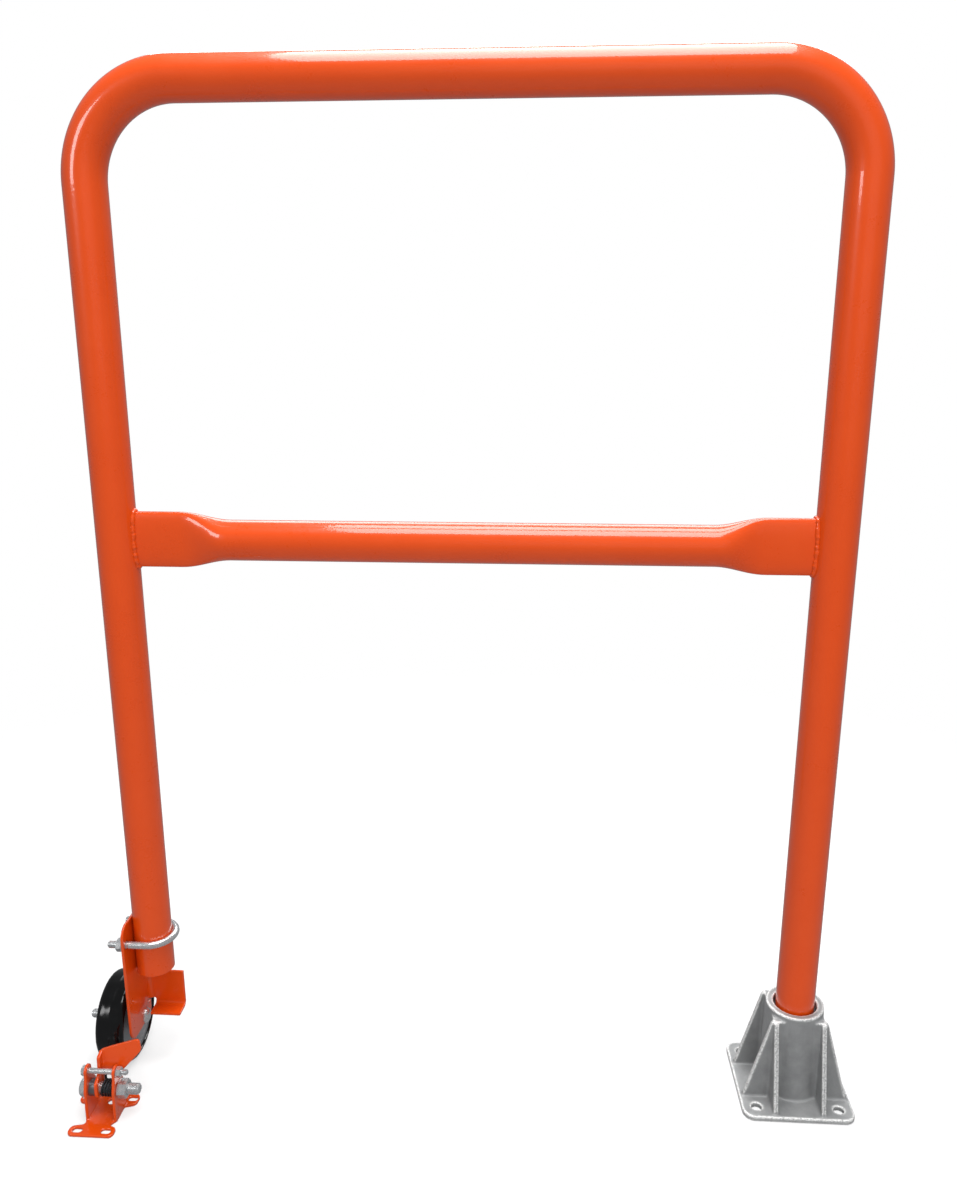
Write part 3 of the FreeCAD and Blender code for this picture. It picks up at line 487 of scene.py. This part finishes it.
def rail_section(vert_angle, flatness):
    """How far along Y and Z the rail's skin is, from round (0) to pressed flat (1)."""
    tall = TUBE_R + (FLAT_TALL - TUBE_R) * flatness
    thick = TUBE_R + (FLAT_THICK - TUBE_R) * flatness
    power = 1 - 0.42 * flatness
    side, up = math.cos(vert_angle), math.sin(vert_angle)
    rise = 1 - 0.1 * flatness
    return (math.copysign(abs(side) ** power, side) * thick, math.copysign(abs(up) ** rise, up) * tall)


stations = [(-LEG_X / 2 - 12, 1), (FLAT_END, 1)]
stations += [(FLAT_END - TAPER * s / TAPER_STEPS, 0.5 + 0.5 * math.cos(math.pi * s / TAPER_STEPS))
             for s in range(1, TAPER_STEPS)]
stations += [(ROUND_END, 0)]
stations += [(-x, flatness) for x, flatness in reversed(stations)]
bm = bmesh.new()
ring = bmesh.ops.create_circle(bm, segments=96, radius=1)["verts"]
angles = {vert: math.atan2(vert.co.y, vert.co.x) for vert in ring}
for number, (x, flatness) in enumerate(stations):
    if number:
        old = ring
        ring = carry(bm, old, (0, 0, 0))
        before = {vert: next(e.other_vert(vert) for e in vert.link_edges if e.other_vert(vert) in angles)
                  for vert in ring}
        angles = {vert: angles[before[vert]] for vert in ring}
    for vert in ring:
        y, z = rail_section(angles[vert], flatness)
        vert.co = Vector((LEG_X / 2 + x, y, RAIL_Z + z)) * MM
hand_over(bm, "pressed_mid_rail", "gate", ["mid_rail"], orange, 60)

# %% [markdown]
# ## Weld beads
# A weld laid by hand is a row of small overlapping ripples, like coins pushed over. Each ripple is a sphere
# on the seam where the rail's skin meets the leg, a little different from the last, and a fine remesh melts
# the row into one bead. The powder coat covers it with the rest.

# %% Weld beads
def remeshed(bm, voxel, passes):
    """Melt a bmesh into one skin of small even faces, then relax it. Returns the new bmesh."""
    mesh = bpy.data.meshes.new("melt")
    bm.to_mesh(mesh)
    bm.free()
    holder = bpy.data.objects.new("melt", mesh)
    scene.collection.objects.link(holder)
    melt = holder.modifiers.new("melt", "REMESH")
    melt.mode = "VOXEL"
    melt.voxel_size = voxel * MM
    done = bmesh.new()
    done.from_object(holder, bpy.context.evaluated_depsgraph_get())
    bpy.data.objects.remove(holder)
    bpy.data.meshes.remove(mesh)
    for _ in range(passes):
        bmesh.ops.smooth_vert(done, verts=done.verts[:], factor=0.5, use_axis_x=True, use_axis_y=True,
                              use_axis_z=True)
    return done


RIPPLE_GAP = 1.9
SEAM_STEPS = 720


def seam(side):
    """Points RIPPLE_GAP millimetres apart along the seam round the rail, on the leg's skin."""
    travelled, last = RIPPLE_GAP, None
    for step in range(SEAM_STEPS + 1):
        y, z = rail_section(math.tau * step / SEAM_STEPS, 1)
        depth = math.sqrt(TUBE_R ** 2 - y ** 2)
        point = Vector((LEG_X + depth if side == "wheel" else -depth, y, RAIL_Z + z))
        if last is not None:
            travelled += (point - last).length
        last = point
        if travelled >= RIPPLE_GAP:
            travelled = 0
            yield point


ripple = random.Random(7)
for side in ("wheel", "hinge"):
    bm = bmesh.new()
    for point in seam(side):
        wobble = Vector((ripple.uniform(-0.4, 0.4), ripple.uniform(-0.2, 0.2), ripple.uniform(-0.4, 0.4)))
        bmesh.ops.create_uvsphere(bm, u_segments=14, v_segments=9, radius=ripple.uniform(2.3, 3.1) * MM,
                                  matrix=Matrix.Translation((point + wobble) * MM))
    hand_over(remeshed(bm, 0.6, 2), f"{side}_leg_weld", "gate", [], orange, 80)

# %% [markdown]
# ## Cast and coated pieces with soft edges
# A casting has no sharp edge or corner, and neither has sheet steel under a thick powder coat. A copy of the
# CAD solid is merged, melted into small even faces and relaxed, which rounds every edge and fills every inner
# corner a little, as sand and powder do. The voxel is under a third of the thinnest wall, so no wall is lost.

# %% Cast and coated pieces with soft edges
def softened(node, name, body, material, voxel, passes):
    """A piece in a node's place with all its edges rounded."""
    bm = bmesh.new()
    bm.from_mesh(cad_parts[node].data)
    bmesh.ops.remove_doubles(bm, verts=bm.verts[:], dist=0.001 * MM)
    return hand_over(remeshed(bm, voxel, passes), name, body, [node], material, 180)


softened("hinge_base", "cast_socket", "floor_set", cast, 1.1, 5)
softened("wheel_bracket", "folded_wheel_bracket", "gate", orange, 0.75, 4)
softened("latch_bracket", "folded_latch_bracket", "floor_set", orange, 0.55, 4)
softened("latch_catch", "folded_catch", "catch", orange, 0.5, 4)

# %% [markdown]
# ## Nuts, bolts and washers
# Hex nuts and heads are cold formed, so their faces are coned and their holes countersunk. A bolt's thread is
# a ridge spun round its shank while it climbs by the pitch of that metric size.

# %% Nuts, bolts and washers
def spot(node, from_high=0.0):
    """A place on a node's own axis, from_high millimetres in from its end on the hinge side."""
    low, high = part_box(node)
    centre = (low + high) / 2
    return along_x(high.x - from_high * MM, centre.y, centre.z)


def hex_bolt(node, name, head, across, bore, pitch, threaded):
    """A hex bolt whose head is on the wheel side and whose thread ends on the hinge side."""
    flat, shank, core = across / 2, bore / 2, core_radius(bore / 2, pitch)
    length = span(node).x - head
    bm = bmesh.new()
    rings = [(core - 0.7, 0, None), (core, 0.8, None), (core, threaded, None), (shank, threaded + 0.6, None),
             (shank, length - 0.3, None), (shank + 0.3, length, None), (flat * FACE, length, None),
             (flat, length, 0), (flat, length + head, -1), (flat * FACE, length + head, None),
             (flat * FACE - 0.5, length + head - 0.15, None)]
    stack(bm, rings, spot(node))
    thread(bm, spot(node), shank, 0.6, threaded, pitch)
    hand_over(bm, name, "floor_set", [node], zinc)


hex_bolt("latch_pivot_bolt", "pivot_bolt", 7.2, 18, 12, 1.75, 24)
hex_bolt("latch_stop_bolt", "stop_bolt", 3.9, 9.9, 6, 1.0, 13)

for node, name, body, across, bore in (("latch_pivot_nut", "pivot_nut", "floor_set", 18, 12),
                                       ("latch_stop_nut", "stop_nut", "floor_set", 9.9, 6),
                                       ("axle_nut", "axle_end_nut", "gate", 16, 10)):
    bm = bmesh.new()
    nut(bm, spot(node), across, span(node).x, bore)
    hand_over(bm, name, body, [node], zinc)

CLAMP_Y = (span("u_bolt").y - 8) / 2
bm = bmesh.new()
ring_set = bmesh.new()
for way in (-1, 1):
    over = Matrix.Translation((0, way * CLAMP_Y * MM, 0))
    nut(bm, over @ spot("u_bolt_nuts"), 12.96, span("u_bolt_nuts").x, 8)
    washer(ring_set, over @ spot("u_bolt_washers"), 8, 4, span("u_bolt_washers").x)
hand_over(bm, "clamp_nuts", "gate", ["u_bolt_nuts"], zinc)
hand_over(ring_set, "clamp_washers", "gate", ["u_bolt_washers"], zinc)

bm = bmesh.new()
for inset in (0, span("axle_washers").x - 1.6):
    washer(bm, spot("axle_washers", inset), 10, 5, 1.6)
hand_over(bm, "axle_ring_washers", "gate", ["axle_washers"], zinc)

bm = bmesh.new()
washer(bm, spot("latch_spacer"), span("latch_spacer").y / 2, 6, span("latch_spacer").x)
hand_over(bm, "pivot_spacer", "floor_set", ["latch_spacer"], turned)

# %% [markdown]
# ## The axle
# The axle goes in from inside the bracket, where only a low round head has room, so its head is a dome
# instead of a hexagon. Its thread shows beyond the nut on the wheel's far side.

# %% The axle
axle_length = span("axle_bolt").x
AXLE_THREAD = 24
core = core_radius(5, 1.5)
bm = bmesh.new()
dome = [(8.5 * math.cos(a), 5.2 - 4.2 * math.sin(a)) for a in (1.35, 1.1, 0.85, 0.6, 0.35, 0.15)]
rings = [(r, h - 1.0, None) for r, h in dome]
rings += [(8.5, 4.6, None), (8.3, 5.5, None), (5.3, 5.5, None), (5, 5.8, None),
          (5, axle_length - AXLE_THREAD - 0.6, None), (core, axle_length - AXLE_THREAD, None),
          (core, axle_length - 0.8, None), (core - 0.7, axle_length, None)]
stack(bm, rings, spot("axle_bolt"))
thread(bm, spot("axle_bolt"), 5, axle_length - AXLE_THREAD, axle_length - 0.6, 1.5)
hand_over(bm, "wheel_axle", "gate", ["axle_bolt"], zinc)

# %% [markdown]
# ## The U-bolt
# The clamp is one rod, threaded at both ends and bent round the leg. It is made like the leaf's tube: out,
# round and back, with the threads spun on at the end.

# %% The U-bolt
U_Z = middle("u_bolt").z / MM
U_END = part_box("u_bolt")[0].x / MM
THREADED = 23.4
core = core_radius(4, 1.25)
bm = bmesh.new()
ring = bmesh.ops.create_circle(bm, segments=32, radius=(core - 0.6) * MM,
                               matrix=Matrix.Translation(Vector((U_END, -CLAMP_Y, U_Z)) * MM)
                               @ Matrix.Rotation(math.pi / 2, 4, "Y"))["verts"]
first_ring = list(ring)


def resize(bm, ring, factor):
    """Scale a ring about its own middle."""
    centre = sum((v.co for v in ring), Vector()) / len(ring)
    bmesh.ops.scale(bm, vec=(factor, factor, factor), space=Matrix.Translation(-centre), verts=ring)


for way, sizes in ((1, (core / (core - 0.6), 1, 4 / core)), (-1, (core / 4, 1, (core - 0.6) / core))):
    steps = ((0.8, 22, 0.6) if way == 1 else (0.6, 22, 0.8))
    if way == -1:
        ring = bmesh.ops.spin(bm, geom=ring + rim_edges(bm, ring), cent=Vector((LEG_X, 0, U_Z)) * MM,
                              axis=(0, 0, 1), angle=math.pi, steps=48, use_merge=False)["geom_last"]
        ring = [g for g in ring if isinstance(g, bmesh.types.BMVert)]
        ring = carry(bm, ring, (U_END + THREADED - LEG_X, 0, 0))
    for step, factor in zip(steps, sizes):
        ring = carry(bm, ring, (way * step, 0, 0))
        resize(bm, ring, factor)
    if way == 1:
        ring = carry(bm, ring, (LEG_X - U_END - THREADED, 0, 0))
for end in (first_ring, ring):
    bmesh.ops.edgeloop_fill(bm, edges=rim_edges(bm, end))
for y in (-CLAMP_Y, CLAMP_Y):
    thread(bm, along_x((U_END + 22) * MM, y * MM, U_Z * MM), 4, 0, 21.4, 1.25)
hand_over(bm, "bent_u_bolt", "gate", ["u_bolt"], zinc)

# %% [markdown]
# ## The wheel
# The core is moulded with a rim, a thin web and a hub, and the tyre is cast round it. The tyre's shoulders
# are rounded so that it turns on the spot, and a thin line of flash runs round the middle where the mould
# parts. Every corner of the core has a fillet, because plastic won't fill a sharp one.

# %% The wheel
tyre_low, tyre_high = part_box("tyre")
TYRE_R = (tyre_high.z - tyre_low.z) / MM / 2
SEAT = TYRE_R - 7
SHOULDER = 6
HALF = span("tyre").x / 2
shoulder = [(TYRE_R - SHOULDER - 0.2 + SHOULDER * math.sin(a * math.pi / 12),
             HALF - SHOULDER + SHOULDER * math.cos(a * math.pi / 12)) for a in range(7)]
half_tyre = [(SEAT, HALF - 2.5), (SEAT + 0.3, HALF - 0.7)] + shoulder
half_tyre += [(TYRE_R - 0.1, 5), (TYRE_R - 0.1, 0.6)]
profile = [(r, HALF - h, None) for r, h in half_tyre] + [(TYRE_R, HALF, None)]
profile += [(r, HALF + h, None) for r, h in reversed(half_tyre)]
bm = bmesh.new()
stack(bm, profile, spot("tyre"), segments=120, closed=True)
hand_over(bm, "cast_tyre", "wheel", ["tyre"], urethane)

HUB_HALF = span("wheel_core").x / 2
half_core = [(10, HUB_HALF - 0.6), (10.6, HUB_HALF), (14.4, HUB_HALF), (15, HUB_HALF - 0.6), (15.6, 8.5),
             (16.6, 6.8), (18.5, 6), (33, 6), (35.5, 6.7), (37, 8.4), (38.6, 12.6), (39.2, 13.5),
             (SEAT - 0.4, 13.5), (SEAT, 13.1)]
profile = [(r, HUB_HALF - h, None) for r, h in half_core]
profile += [(r, HUB_HALF + h, None) for r, h in reversed(half_core)]
bm = bmesh.new()
stack(bm, profile, spot("wheel_core"), segments=120, closed=True)
hand_over(bm, "moulded_core", "wheel", ["wheel_core"], core_nylon)

# %% [markdown]
# ## The torsion spring
# The spring winds round the pivot bolt with one arm on the bracket's floor and the other against the catch.
# Its wire is one circle spun round the bolt while it moves along. The arms belong to different bodies, so the
# spring is put on neither body and stays where it is built.

# %% The torsion spring
coil_low, coil_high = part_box("latch_spring")
PIVOT = middle("latch_pivot_bolt")
WIRE = 1.25
COIL_R = (coil_high.z - coil_low.z) / MM / 2 - WIRE
TURNS = 4
STEPS = 30
BACK = PIVOT.y / MM + COIL_R
FLOOR_PLATE = 3
PADDLE_FOOT = 48.5
floor_end = coil_high.x / MM - WIRE
catch_end = coil_low.x / MM + WIRE
climb = (catch_end - floor_end) / (TURNS * STEPS) * MM
bm = bmesh.new()
arm_place = Matrix.Translation(Vector((floor_end, BACK, PIVOT.z / MM)) * MM)
ring = bmesh.ops.create_circle(bm, segments=14, radius=WIRE * MM, matrix=arm_place)["verts"]
floor_arm = carry(bm, ring, (0, 0, FLOOR_PLATE + WIRE - PIVOT.z / MM))
coil = bmesh.ops.spin(bm, geom=ring + rim_edges(bm, ring), cent=PIVOT, axis=(1, 0, 0), dvec=(climb, 0, 0),
                      angle=math.tau * TURNS, steps=TURNS * STEPS, use_merge=False)["geom_last"]
coil = [g for g in coil if isinstance(g, bmesh.types.BMVert)]
catch_arm = carry(bm, coil, (0, 0, PADDLE_FOOT - WIRE - PIVOT.z / MM))
for end in (floor_arm, catch_arm):
    bmesh.ops.edgeloop_fill(bm, edges=rim_edges(bm, end))
spring = hand_over(bm, "torsion_spring", None, ["latch_spring"], phosphate)
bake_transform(spring)

# %% [markdown]
# ## Finishes for the solids that stay
# The bushes, the pivot pad, the plug and the axle's sleeve are turned or moulded to their plain shapes, so
# they keep the frame's meshes and only take their finish.

# %% Finishes for the solids that stay
for node, material in (("upper_bush", bush_nylon), ("lower_bush", bush_nylon), ("pivot_pad", bush_nylon),
                       ("hub_bushes", bush_nylon), ("leg_plug", turned), ("axle_sleeve", turned)):
    for material_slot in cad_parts[node].material_slots:
        material_slot.material = material
    print(node, "is", material.name)

# %% [markdown]
# ## Floor and light
# A catalogue picture stands the object on white. The floor is a pale sheet, thin enough to leave only a weak
# shadow, which fades out a metre away. It isn't mirrored in the gloss, where it would wash the orange out.
# The world is white where it is seen and softer where it lights. An overhead softbox lays the bright line
# along the tops of the rails. A wide front panel, kept out of reflections, lights the legs evenly. A small
# lamp on the left puts the bright points on the tyre, and a back panel lights the rear.

# %% Floor
paper, tree, shader, place = finish("matt_white_floor", Roughness=0.9, Specular_IOR_Level=0.2)
fibre = add(tree, "ShaderNodeTexNoise", {"Scale": 1 / (60 * MM), "Detail": 3.0}, {"Vector": place})
tone = add(tree, "ShaderNodeMix", {"A": tint("F6F6F6"), "B": tint("FBFBFB")}, data_type="RGBA")
tree.links.new(fibre.outputs["Fac"], tone.inputs["Factor"])
tree.links.new(tone.outputs["Result"], shader.inputs["Base Color"])
under_object = (0.37, 0.05, 0)
centred = add(tree, "ShaderNodeMapping", {"Location": under_object}, {"Vector": place})
away = add(tree, "ShaderNodeVectorMath", {}, {0: centred.outputs["Vector"]}, operation="LENGTH")
fade = add(tree, "ShaderNodeMapRange", {"From Min": 0.75, "From Max": 1.5, "To Min": 0.6},
           {"Value": away.outputs["Value"]})
clear = add(tree, "ShaderNodeBsdfTransparent")
blend = add(tree, "ShaderNodeMixShader", {}, {0: fade.outputs["Result"], 1: shader.outputs["BSDF"],
                                              2: clear.outputs["BSDF"]})
tree.links.new(blend.outputs["Shader"], tree.nodes["Material Output"].inputs["Surface"])
bm = bmesh.new()
bmesh.ops.create_grid(bm, x_segments=8, y_segments=8, size=3)
floor_mesh = bpy.data.meshes.new("floor")
bm.to_mesh(floor_mesh)
bm.free()
floor_mesh.materials.append(paper)
floor = bpy.data.objects.new("floor", floor_mesh)
floor.visible_glossy = False
scene.collection.objects.link(floor)
print("floor", floor.dimensions.x, "m wide")

# %% Light
world = bpy.data.worlds.new("white_studio")
scene.world = world
world.use_nodes = True
tree = world.node_tree
seen = tree.nodes["Background"]
seen.inputs["Color"].default_value = tint("FFFFFF")
soft = add(tree, "ShaderNodeBackground", {"Color": tint("F5F7FA"), "Strength": 0.26})
ray = add(tree, "ShaderNodeLightPath")
both = add(tree, "ShaderNodeMixShader", {}, {0: ray.outputs["Is Camera Ray"], 1: soft.outputs["Background"],
                                             2: seen.outputs["Background"]})
tree.links.new(both.outputs["Shader"], tree.nodes["World Output"].inputs["Surface"])


def softbox(name, at, aim, wide, deep, power, reflected=True):
    """A rectangular area light at a point, facing another."""
    lamp = bpy.data.lights.new(name, "AREA")
    lamp.shape = "RECTANGLE"
    lamp.size = wide
    lamp.size_y = deep
    lamp.energy = power
    holder = bpy.data.objects.new(name, lamp)
    holder.location = at
    holder.rotation_euler = (Vector(aim) - Vector(at)).to_track_quat("-Z", "Y").to_euler()
    holder.visible_glossy = reflected
    scene.collection.objects.link(holder)
    print(name, power, "W")


softbox("overhead_strip", (-0.25, -0.1, 2.5), (-0.25, -0.1, 0), 1.3, 2.0, 62)
softbox("front_panel", (0.5, -2.6, 1.5), (-0.36, 0, 0.5), 2.4, 1.8, 44, reflected=False)
softbox("left_lamp", (-2.0, -1.5, 1.5), (-0.5, 0, 0.3), 0.6, 0.6, 9)
softbox("back_panel", (-0.35, 2.3, 2.2), (-0.36, 0, 0.1), 2.6, 1.2, 34)
scene.view_settings.view_transform = "Standard"
